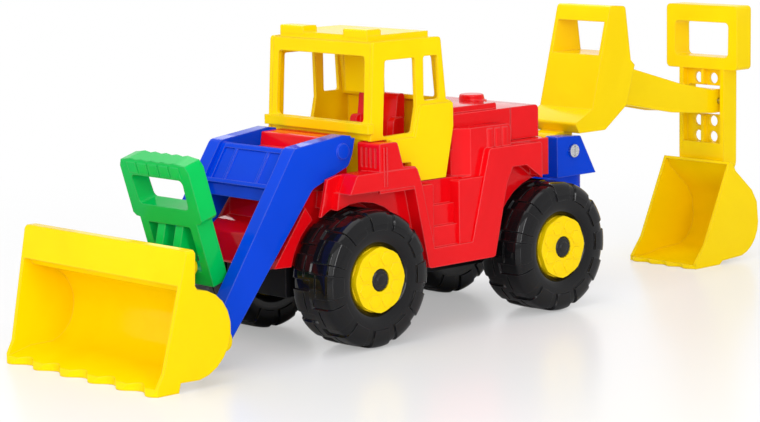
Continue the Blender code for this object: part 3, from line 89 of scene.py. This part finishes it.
# Radius, distance from the middle and share of the lug's height there, from the bore to the crown
HALF_TYRE = (
    (25.5, 16.6, 0), (26.3, 18.4, 0), (28.4, 20.6, 0), (31.8, 22.0, 0), (35.6, 22.5, 0),
    (37.8, 22.5, 0), (38.2, 22.5, 1), (41.8, 22.4, 1), (45.2, 22.0, 1), (47.6, 21.2, 1),
    (49.3, 20.0, 1), (50.4, 18.4, 1), (50.9, 16.6, 1), (51.1, 12.4, 1), (51.1, 7.2, 1),
    (51.1, 6.9, DASH_SHARE), (51.1, 6.0, DASH_SHARE), (51.1, 5.7, 1), (51.1, 0.4, 1))

# Camera of the photograph
LENS = 121.31
SENSOR = 36.0
EYE = (1.4435, 1.464, 0.390)
EYE_RIGHT = (-0.7261, 0.6874, -0.0164)
EYE_BACK = (0.6781, 0.7198, 0.1485)

# Studio
LAMP_AIM = (0.0, 0.0, 0.1)
# Name, place, width, height and watts
LAMPS = (
    ("front_softbox", (2.0, 1.5, 1.1), 1.7, 1.7, 15.5),
    ("top_softbox", (0.3, 0.1, 1.6), 1.3, 1.3, 8.0),
    ("side_strip", (0.7, 1.6, 0.65), 0.22, 1.1, 7.0),
    ("front_strip", (1.75, 0.25, 0.75), 0.16, 1.1, 5.0),
    ("back_softbox", (-1.0, -1.2, 1.2), 1.0, 1.0, 6.0))
WHITE = (1, 1, 1, 1)
FILL = 0.62                          # strength of the surround as light
FLOOR_RADIUS = 9.0
FLOOR_DROP = 0.0001                  # keeps the floor off the tyres' lowest faces

# Sockets of a colour Mix node, whose names repeat
MIX_FACTOR, MIX_FIRST, MIX_SECOND, MIX_RESULT = 0, 6, 7, 2


def colour(name, description, default):
    return bpy.props.FloatVectorProperty(
        name=name, description=description, subtype="COLOR", size=3, default=default)


class ToyColours(bpy.types.PropertyGroup):
    red: colour("Red", "Body, hoods and seat", (0.80, 0.002, 0.006))
    yellow: colour("Yellow", "Cab, buckets, digging arm and hubs", (1.0, 0.70, 0.0))
    blue: colour("Blue", "Loader frame and swing clevis", (0.0, 0.055, 0.68))
    green: colour("Green", "Tilt lever", (0.0, 0.52, 0.09))
    black: colour("Black", "Tyres, caps and chassis", (0.005, 0.005, 0.006))
    steel: colour("Steel", "Axles, pins and screw", (0.62, 0.62, 0.63))


class ToySizes(bpy.types.PropertyGroup):
    edge: bpy.props.FloatProperty(
        name="Edge radius", description="Rounding of the moulded edges", default=0.0013, unit="LENGTH")
    grain: bpy.props.FloatProperty(
        name="Mould grain", description="Height of the fine grain left by the mould",
        default=0.00004, unit="LENGTH")


# Node helpers

def nodes_of(material):
    material.use_nodes = True
    tree = material.node_tree
    return tree.nodes, tree.links, tree.nodes["Principled BSDF"]


def add_node(nodes, kind, **settings):
    node = nodes.new(kind)
    for name, value in settings.items():
        setattr(node, name, value)
    return node


def set_input(node, **values):
    for name, value in values.items():
        node.inputs[name.replace("_", " ")].default_value = value


def noise(nodes, links, place, **values):
    texture = add_node(nodes, "ShaderNodeTexNoise")
    set_input(texture, **values)
    links.new(place, texture.inputs["Vector"])
    return texture.outputs["Fac"]


def stretch(nodes, links, place, scale, rotation=(0, 0, 0)):
    mapping = add_node(nodes, "ShaderNodeMapping")
    set_input(mapping, Scale=scale, Rotation=rotation)
    links.new(place, mapping.inputs["Vector"])
    return mapping.outputs["Vector"]


def remap(nodes, links, value, interpolation="LINEAR", **limits):
    ranged = add_node(nodes, "ShaderNodeMapRange", interpolation_type=interpolation)
    set_input(ranged, **limits)
    links.new(value, ranged.inputs["Value"])
    return ranged.outputs["Result"]


def ramp(nodes, links, value, *stops):
    node = add_node(nodes, "ShaderNodeValToRGB")
    for element, (position, shade) in zip(node.color_ramp.elements, stops):
        element.position = position
        element.color = (*shade, 1)
    links.new(value, node.inputs["Fac"])
    return node.outputs["Color"]


def calculate(nodes, links, operation, first, second):
    node = add_node(nodes, "ShaderNodeMath", operation=operation)
    links.new(first, node.inputs[0])
    links.new(second, node.inputs[1])
    return node.outputs["Value"]


def mix_to_surface(nodes, links, factor, first, second, output):
    mix = add_node(nodes, "ShaderNodeMixShader")
    links.new(factor, mix.inputs["Fac"])
    links.new(first, mix.inputs[1])
    links.new(second, mix.inputs[2])
    links.new(mix.outputs["Shader"], nodes[output].inputs["Surface"])


def scaled(shade, factor, lift=0.0):
    return [min(1.0, c * factor + lift) for c in shade]


# Materials

def colour_with_painted_edge_highlight(nodes, links, place, edge, shade, edge_highlight):
    """Colour with faint flow marks, paler along the edges as a painted highlight."""
    flow = noise(nodes, links, place, Scale=14.0, Detail=3.0, Roughness=0.55, Distortion=0.8)
    tint = ramp(nodes, links, flow, (0.35, scaled(shade, 0.965)), (0.65, scaled(shade, 1.02, 0.001)))
    face = add_node(nodes, "ShaderNodeNewGeometry")
    turn = add_node(nodes, "ShaderNodeVectorMath", operation="DOT_PRODUCT")
    links.new(edge, turn.inputs[0])
    links.new(face.outputs["Normal"], turn.inputs[1])
    # Painted highlight: where the bevel normal turns from the face, along the rounded edges, the colour is
    # mixed towards a paler tint, up to the given strength
    painted_highlight = remap(nodes, links, turn.outputs["Value"], From_Min=0.995, From_Max=0.90, To_Min=0.0, To_Max=edge_highlight)
    highlighted_colour = add_node(nodes, "ShaderNodeMix", data_type="RGBA")
    highlighted_colour.inputs[MIX_SECOND].default_value = (*scaled(shade, 0.8, 0.22), 1)
    links.new(painted_highlight, highlighted_colour.inputs[MIX_FACTOR])
    links.new(tint, highlighted_colour.inputs[MIX_FIRST])
    return highlighted_colour.outputs[MIX_RESULT]


def scuffed_gloss(nodes, links, place, rough):
    """Roughness that wanders between two limits, with hairline scuffs."""
    smear = noise(nodes, links, place, Scale=34.0, Detail=4.0, Roughness=0.6)
    gloss = remap(nodes, links, smear, From_Min=0.3, From_Max=0.7, To_Min=rough[0], To_Max=rough[1])
    along = stretch(nodes, links, place, (30, 900, 900), (0.3, 0.5, 0.2))
    scuff = noise(nodes, links, along, Scale=1.0, Detail=2.0)
    hairs = remap(nodes, links, scuff, From_Min=0.67, From_Max=0.74, To_Min=0.0, To_Max=0.05)
    return calculate(nodes, links, "ADD", gloss, hairs)


def mould_grain(nodes, links, place, edge, height):
    """Fine grain over shallow sink marks, on the rounded edges."""
    skin = noise(nodes, links, place, Scale=620.0, Detail=2.0, Roughness=0.5)
    sink = noise(nodes, links, place, Scale=30.0, Detail=1.0, Roughness=0.4)
    heights = add_node(nodes, "ShaderNodeMath", operation="MULTIPLY_ADD")
    heights.inputs[1].default_value = 6.0
    links.new(sink, heights.inputs[0])
    links.new(skin, heights.inputs[2])
    bump = add_node(nodes, "ShaderNodeBump")
    set_input(bump, Strength=0.3, Distance=height)
    links.new(heights.outputs["Value"], bump.inputs["Height"])
    links.new(edge, bump.inputs["Normal"])
    return bump.outputs["Normal"]


def plastic(name, shade, rough, specular, edge_highlight, rounding=1.0):
    """Moulded plastic: flow marks, uneven gloss, scuffs, mould grain, soft rounded edges and a painted
    highlight along them.
    """
    sizes = bpy.context.scene.toy_sizes
    material = bpy.data.materials.new(name)
    nodes, links, shader = nodes_of(material)
    place = add_node(nodes, "ShaderNodeTexCoord").outputs["Object"]
    bevel = add_node(nodes, "ShaderNodeBevel", samples=4)
    set_input(bevel, Radius=sizes.edge * rounding)
    edge = bevel.outputs["Normal"]
    links.new(colour_with_painted_edge_highlight(nodes, links, place, edge, shade, edge_highlight), shader.inputs["Base Color"])
    links.new(scuffed_gloss(nodes, links, place, rough), shader.inputs["Roughness"])
    links.new(mould_grain(nodes, links, place, edge, sizes.grain), shader.inputs["Normal"])
    set_input(shader, IOR=1.49, Specular_IOR_Level=specular)
    return material


def drawn_steel(name, shade):
    """Bright drawn wire: fine lengthwise streaks and uneven polish."""
    material = bpy.data.materials.new(name)
    nodes, links, shader = nodes_of(material)
    place = add_node(nodes, "ShaderNodeTexCoord").outputs["Object"]
    lengthwise = stretch(nodes, links, place, (900, 40, 900))
    streak = noise(nodes, links, lengthwise, Scale=1.0, Detail=3.0)
    tint = ramp(nodes, links, streak, (0.0, scaled(shade, 0.75)), (1.0, scaled(shade, 1.15)))
    links.new(tint, shader.inputs["Base Color"])
    polish = remap(nodes, links, streak, To_Min=0.18, To_Max=0.36)
    links.new(polish, shader.inputs["Roughness"])
    set_input(shader, Metallic=1.0)
    return material


# Pieces


def middle(node):
    """Middle of a CAD node in the side view, as x and z."""
    low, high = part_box(node)
    return Vector(((low[0] + high[0]) / 2, (low[2] + high[2]) / 2))


def add_piece(name, mesh, material):
    mesh.materials.append(material)
    piece = bpy.data.objects.new(name, mesh)
    bpy.context.scene.collection.objects.link(piece)
    return piece


def dress(node, material):
    """Puts a smooth-shaded moulding in the place of a CAD node."""
    source = frame["nodes"][node]
    name = node + "_moulding"
    mesh = bpy.data.meshes.new(name)
    corners = [vertex.co for vertex in source.data.vertices]
    mesh.from_pydata(corners, [], [face.vertices for face in source.data.polygons])
    cloth = bmesh.new()
    cloth.from_mesh(mesh)
    bmesh.ops.remove_doubles(cloth, verts=cloth.verts, dist=WELD)
    cloth.to_mesh(mesh)
    cloth.free()
    mesh.shade_smooth()
    mesh.set_sharp_from_angle(angle=SHARP_MOULDING)
    piece = add_piece(name, mesh, material)
    piece.matrix_world = source.matrix_world.copy()
    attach(piece, BODY_OF[node])
    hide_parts(node)


def repaint(node, material):
    """Gives a carried-over CAD node its finish."""
    obj = frame["nodes"][node]
    if not obj.material_slots:
        obj.data.materials.append(None)
    for material_slot in obj.material_slots:
        material_slot.link = "OBJECT"
        material_slot.material = material


def slab(cloth, corners, low, high):
    """Closed bar across the toy, from its corners in the side view."""
    ends = [[cloth.verts.new((x, y, z)) for x, z in corners] for y in (low, high)]
    cloth.faces.new(ends[0])
    cloth.faces.new(list(reversed(ends[1])))
    for k in range(len(corners)):
        n = (k + 1) % len(corners)
        cloth.faces.new((ends[0][n], ends[0][k], ends[1][k], ends[1][n]))


def trim(name, bars, material, node):
    """Moulded trim that rides with the CAD node it lies on."""
    mesh = bpy.data.meshes.new(name)
    cloth = bmesh.new()
    for corners, low, high in bars:
        slab(cloth, corners, low, high)
    bmesh.ops.recalc_face_normals(cloth, faces=cloth.faces)
    cloth.to_mesh(mesh)
    cloth.free()
    piece = add_piece(name, mesh, material)
    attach(piece, BODY_OF[node])


def on_both_sides(outline, inner, outer):
    return [(outline, *sorted((side * inner, side * outer))) for side in SIDES]


# Red trim

def tower_ribs(material):
    """Two upright ribs on the outer side of each headlight tower, down to the fender's lip."""
    tower_front = middle("front_axle").x - 0.0120
    foot, top, width = 0.1205, 0.1505, 0.0010
    bars = []
    for back in (0.0034, 0.0064):
        x = tower_front - back
        outline = [(x, foot), (x, top), (x - width, top), (x - width, foot)]
        bars += on_both_sides(outline, 0.0710, 0.0725)
    trim("tower_ribs", bars, material, "body_shell")


def arch_cheeks(material):
    """Side walls of the nose above the front tyres, just outside the loader arms."""
    hub = middle("front_axle")
    arch = 0.0580
    top = 0.1312
    outline = [tuple(hub + arch * Vector((math.cos(turn), math.sin(turn))))
               for turn in map(math.radians, range(76, 55, -5))]
    outline += [(hub.x + ahead, z) for ahead, z in ((0.0253, 0.1287), (0.0148, top), (0.0080, top))]
    trim("arch_cheeks", on_both_sides(outline, 0.0505, 0.0535), material, "body_shell")


def step_panels(material):
    """Flat panels that close the step well in front of the steps and behind them."""
    axle = middle("front_axle").x
    low, top, chamfer = 0.0660, 0.1172, 0.0012
    fore_edge = axle - 0.0692
    aft_edge = axle - 0.0972
    fore = [(fore_edge, low), (axle - 0.0675, low), (axle - 0.0545, top),
            (fore_edge + chamfer, top), (fore_edge, top - chamfer)]
    aft = [(axle - 0.1115, low), (aft_edge, low), (aft_edge, top - chamfer),
           (aft_edge - chamfer, top), (axle - 0.1255, top)]
    bars = on_both_sides(fore, 0.0590, 0.0705) + on_both_sides(aft, 0.0590, 0.0705)
    trim("step_panels", bars, material, "body_shell")


# Blue and green trim

def panel_tray(material):
    """Raised border and the shelf along the foot of the panel between the loader arms."""
    half, border = 0.0365, 0.0042
    sunk, border_rise, shelf_rise = -0.0008, 0.0011, 0.0034
    run = Vector((0.0180, -0.0285))
    out = Vector((0.0285, 0.0180)).normalized()
    start = middle("arm_pivot_pin") + Vector((0.0443, 0.0047))

    def strip(first, last, rise):
        places = ((first, sunk), (last, sunk), (last, rise), (first, rise))
        return [tuple(start + run * share + out * height) for share, height in places]

    side_strip = strip(0.02, 0.96, border_rise)
    trim("panel_tray", [
        (side_strip, -half, -half + border),
        (side_strip, half - border, half),
        (strip(0.02, 0.13, border_rise), -half + border, half - border),
        (strip(0.92, 1.02, shelf_rise), -half, half)], material, "loader_arms")


def grip_pads(material):
    """Finger pads across the front of the tilt lever's grip."""
    lean = math.radians(17)
    along = Vector((math.sin(lean), math.cos(lean)))
    out = Vector((math.cos(lean), -math.sin(lean)))
    foot = middle("bucket_pin_left") + Vector((-0.00915, 0.0377))
    top = foot + along * 0.098
    sunk, rise = -0.0008, 0.0007
    pads, pitch, gap = 5, 0.0125, 0.0011
    face = [tuple(top + along * way + out * height) for way, height in (
        (-0.0022, sunk), (-0.0126, sunk), (-0.0118, rise), (-0.0032, rise))]
    bars = []
    for k in range(pads):
        edge = (k - pads / 2) * pitch
        bars.append((face, edge + gap, edge + pitch - gap))
    trim("grip_pads", bars, material, "tilt_handle")


# Tyres

def tyre_columns(pitch):
    """Angles round the tyre: both flanks of every lug, and even steps between them."""
    columns = set()
    for k in range(LUGS):
        for row in (0.0, 0.5):
            for edge in (-LUG_SHARE, LUG_SHARE):
                for offset in (-LUG_EDGE, LUG_EDGE):
                    columns.add(round((k + row + edge + offset) * pitch % math.tau, 5))
        for step in range(STEPS_PER_LUG):
            columns.add(round((k + step / STEPS_PER_LUG + STEP_SHIFT) * pitch % math.tau, 5))
    return sorted(columns)


def tyre_section():
    """Closed section as radius, place across, lug share and side, from one bead over to the other."""
    return ([(radius, -y, share, -1) for radius, y, share in HALF_TYRE]
            + [(radius, y, share, 1) for radius, y, share in reversed(HALF_TYRE)])


def tyre_ring(cloth, section, angle, pitch, side):
    ring = []
    for i, (radius, y, share, row) in enumerate(section):
        phase = angle / pitch - (0.5 if row < 0 else 0.0)
        away = abs((phase + 0.5) % 1 - 0.5)
        if share == DASH_SHARE and away > LUG_SHARE * DASH_LENGTH:
            share = 1
        reach = LUG_HEIGHT * share if away < LUG_SHARE else 0.0
        before = section[i - 1]
        after = section[(i + 1) % len(section)]
        normal = Vector((after[1] - before[1], before[0] - after[0])).normalized()
        r = min(radius + normal.x * reach, TYRE_LIMIT) / 1000
        across = (y + normal.y * reach) / 1000
        ring.append(cloth.verts.new((r * math.cos(angle), side * across, r * math.sin(angle))))
    return ring


def tyre_mesh(name, side):
    """Blow-moulded tyre with broad lugs that wrap over both shoulders, staggered left to right."""
    pitch = math.tau / LUGS
    section = tyre_section()
    mesh = bpy.data.meshes.new(name)
    cloth = bmesh.new()
    rings = [tyre_ring(cloth, section, angle, pitch, side) for angle in tyre_columns(pitch)]
    for ring, after in zip(rings, rings[1:] + rings[:1]):
        for k in range(len(section)):
            n = (k + 1) % len(section)
            cloth.faces.new((ring[k], ring[n], after[n], after[k])).smooth = True
    bmesh.ops.recalc_face_normals(cloth, faces=cloth.faces)
    cloth.to_mesh(mesh)
    cloth.free()
    mesh.set_sharp_from_angle(angle=SHARP_TYRE)
    return mesh


# Operators

class TOY_OT_body(bpy.types.Operator):
    """Dresses the red body, hoods, filter cap and seat"""

    bl_idname = "toy.body"
    bl_label = "Red Body"

    def execute(self, context):
        colours = context.scene.toy_colours
        paint = plastic("body_red", colours.red, rough=(0.05, 0.13), specular=0.16, edge_highlight=0.36)
        for node in ("body_shell", "rear_hood", "front_hood", "seat", "filter_cap"):
            dress(node, paint)
        tower_ribs(paint)
        arch_cheeks(paint)
        step_panels(paint)
        return {"FINISHED"}


class TOY_OT_yellow_mouldings(bpy.types.Operator):
    """Dresses the cab, both buckets, the boom and the dipper"""

    bl_idname = "toy.yellow_mouldings"
    bl_label = "Yellow Mouldings"

    def execute(self, context):
        colours = context.scene.toy_colours
        paint = plastic("moulded_yellow", colours.yellow, rough=(0.14, 0.25), specular=0.08, edge_highlight=0.12)
        for node in ("cab", "loader_bucket", "boom", "dipper", "dig_bucket"):
            dress(node, paint)
        return {"FINISHED"}


class TOY_OT_blue_frame(bpy.types.Operator):
    """Dresses the loader arms, the swing bracket and the swing clevis"""

    bl_idname = "toy.blue_frame"
    bl_label = "Blue Frame"

    def execute(self, context):
        colours = context.scene.toy_colours
        paint = plastic("frame_blue", colours.blue, rough=(0.04, 0.10), specular=0.07, edge_highlight=0.34)
        for node in ("loader_arms", "swing_bracket", "swing_block"):
            dress(node, paint)
        panel_tray(paint)
        return {"FINISHED"}


class TOY_OT_tilt_lever(bpy.types.Operator):
    """Dresses the green tilt lever"""

    bl_idname = "toy.tilt_lever"
    bl_label = "Tilt Lever"

    def execute(self, context):
        colours = context.scene.toy_colours
        paint = plastic("lever_green", colours.green, rough=(0.07, 0.15), specular=0.09, edge_highlight=0.25)
        dress("tilt_handle", paint)
        grip_pads(paint)
        return {"FINISHED"}


class TOY_OT_wheels(bpy.types.Operator):
    """Finishes the tyres, hubs and caps"""

    bl_idname = "toy.wheels"
    bl_label = "Wheels"

    def execute(self, context):
        colours = context.scene.toy_colours
        rubber = plastic(
            "tyre_black", colours.black, rough=(0.03, 0.09), specular=0.22, edge_highlight=0.12, rounding=0.35)
        hub = plastic(
            "hub_yellow", colours.yellow, rough=(0.12, 0.22), specular=0.10, edge_highlight=0.12, rounding=0.5)
        cap = plastic(
            "cap_black", colours.black, rough=(0.20, 0.34), specular=0.3, edge_highlight=0.1, rounding=0.4)
        for wheel in WHEELS:
            low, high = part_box("tyre_" + wheel)
            side = 1 if "left" in wheel else -1
            name = "tyre_tread_" + wheel
            tyre = add_piece(name, tyre_mesh(name, side), rubber)
            tyre.location = [(a + b) / 2 for a, b in zip(low, high)]
            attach(tyre, BODY_OF["tyre_" + wheel])
            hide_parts("tyre_" + wheel)
            dress("hub_" + wheel, hub)
            repaint("axle_cap_" + wheel, cap)
        return {"FINISHED"}


class TOY_OT_running_gear(bpy.types.Operator):
    """Finishes the chassis tray, axles, pins and the boom screw"""

    bl_idname = "toy.running_gear"
    bl_label = "Running Gear"

    def execute(self, context):
        colours = context.scene.toy_colours
        tray = plastic("chassis_black", colours.black, rough=(0.30, 0.46), specular=0.08, edge_highlight=0.1)
        dress("chassis", tray)
        steel = drawn_steel("drawn_steel", colours.steel)
        for node in ("front_axle", "rear_axle", "arm_pivot_pin", "bucket_pin_left", "bucket_pin_right",
                     "hook_pin", "swing_pin", "boom_screw", "boom_nut", "dipper_pin", "dig_bucket_pin"):
            repaint(node, steel)
        return {"FINISHED"}


class TOY_OT_stage(bpy.types.Operator):
    """Sets the camera, the pale floor, the soft lamps and the white surround"""

    bl_idname = "toy.stage"
    bl_label = "Studio"

    def execute(self, context):
        scene = context.scene
        scene.view_settings.view_transform = "Standard"
        self.camera(scene)
        self.floor(scene)
        self.lamps(scene)
        self.surround(scene)
        return {"FINISHED"}

    def camera(self, scene):
        camera = bpy.data.cameras.new("photo_camera")
        camera.sensor_fit = "HORIZONTAL"
        camera.sensor_width = SENSOR
        camera.lens = LENS
        camera.clip_end = 50
        eye = bpy.data.objects.new("photo_camera", camera)
        back = Vector(EYE_BACK).normalized()
        up = back.cross(Vector(EYE_RIGHT).normalized()).normalized()
        right = up.cross(back)
        turn = Matrix((right, up, back)).transposed().to_4x4()
        eye.matrix_world = Matrix.Translation(EYE) @ turn
        scene.collection.objects.link(eye)
        scene.camera = eye

    def floor(self, scene):
        """Pale floor that keeps the shadow near the toy and fades to white for the camera."""
        mesh = bpy.data.meshes.new("studio_floor")
        sheet = bmesh.new()
        bmesh.ops.create_circle(sheet, cap_ends=True, segments=96, radius=FLOOR_RADIUS)
        sheet.to_mesh(mesh)
        sheet.free()
        floor = bpy.data.objects.new("studio_floor", mesh)
        floor.location = (0, 0, CAD_BOX[0][2] - FLOOR_DROP)
        scene.collection.objects.link(floor)
        material = bpy.data.materials.new("studio_floor")
        nodes, links, shader = nodes_of(material)
        set_input(shader, Base_Color=(0.86, 0.86, 0.87, 1), Roughness=0.24)
        place = add_node(nodes, "ShaderNodeTexCoord")
        reach = add_node(nodes, "ShaderNodeVectorMath", operation="LENGTH")
        links.new(place.outputs["Object"], reach.inputs[0])
        fade = remap(nodes, links, reach.outputs["Value"], "SMOOTHSTEP",
                     From_Min=0.20, From_Max=0.95, To_Min=0.36, To_Max=1.0)
        path = add_node(nodes, "ShaderNodeLightPath")
        seen = calculate(nodes, links, "MULTIPLY", fade, path.outputs["Is Camera Ray"])
        white = add_node(nodes, "ShaderNodeEmission")
        mix_to_surface(
            nodes, links, seen, shader.outputs["BSDF"], white.outputs["Emission"], "Material Output")
        mesh.materials.append(material)

    def lamps(self, scene):
        for name, place, width, height, watts in LAMPS:
            light = bpy.data.lights.new(name, "AREA")
            light.shape = "RECTANGLE"
            light.size = width
            light.size_y = height
            light.energy = watts
            lamp = bpy.data.objects.new(name, light)
            lamp.location = place
            aim = Vector(LAMP_AIM) - Vector(place)
            lamp.rotation_euler = aim.to_track_quat("-Z", "Y").to_euler()
            scene.collection.objects.link(lamp)

    def surround(self, scene):
        """Soft fill as light, and plain white where it is seen, mirrored or looked through to."""
        world = bpy.data.worlds.new("white_surround")
        scene.world = world
        world.use_nodes = True
        nodes, links = world.node_tree.nodes, world.node_tree.links
        fill = nodes["Background"]
        set_input(fill, Color=WHITE, Strength=FILL)
        white = add_node(nodes, "ShaderNodeBackground")
        set_input(white, Color=WHITE, Strength=1.0)
        path = add_node(nodes, "ShaderNodeLightPath").outputs
        direct = calculate(nodes, links, "MAXIMUM", path["Is Camera Ray"], path["Is Transmission Ray"])
        seen = calculate(nodes, links, "MAXIMUM", direct, path["Is Glossy Ray"])
        mix_to_surface(
            nodes, links, seen, fill.outputs["Background"], white.outputs["Background"], "World Output")


class TOY_PT_panel(bpy.types.Panel):
    bl_label = "Toy Backhoe Loader"
    bl_idname = "TOY_PT_panel"
    bl_space_type = "VIEW_3D"
    bl_region_type = "UI"
    bl_category = "Backhoe"

    def draw(self, context):
        for operator in OPERATORS:
            self.layout.operator(operator.bl_idname)
        for group in (context.scene.toy_colours, context.scene.toy_sizes):
            for name in group.bl_rna.properties.keys():
                if name not in ("rna_type", "name"):
                    self.layout.prop(group, name)


OPERATORS = (TOY_OT_stage, TOY_OT_body, TOY_OT_yellow_mouldings, TOY_OT_blue_frame, TOY_OT_tilt_lever,
             TOY_OT_wheels, TOY_OT_running_gear)
CLASSES = (ToyColours, ToySizes) + OPERATORS + (TOY_PT_panel,)


def register():
    for cls in CLASSES:
        bpy.utils.register_class(cls)
    bpy.types.Scene.toy_colours = bpy.props.PointerProperty(type=ToyColours)
    bpy.types.Scene.toy_sizes = bpy.props.PointerProperty(type=ToySizes)


def unregister():
    del bpy.types.Scene.toy_sizes
    del bpy.types.Scene.toy_colours
    for cls in reversed(CLASSES):
        bpy.utils.unregister_class(cls)


def main():
    register()
    bpy.ops.toy.stage()
    bpy.ops.toy.body()
    bpy.ops.toy.yellow_mouldings()
    bpy.ops.toy.blue_frame()
    bpy.ops.toy.tilt_lever()
    bpy.ops.toy.wheels()
    bpy.ops.toy.running_gear()


if __name__ == "__main__":
    main()
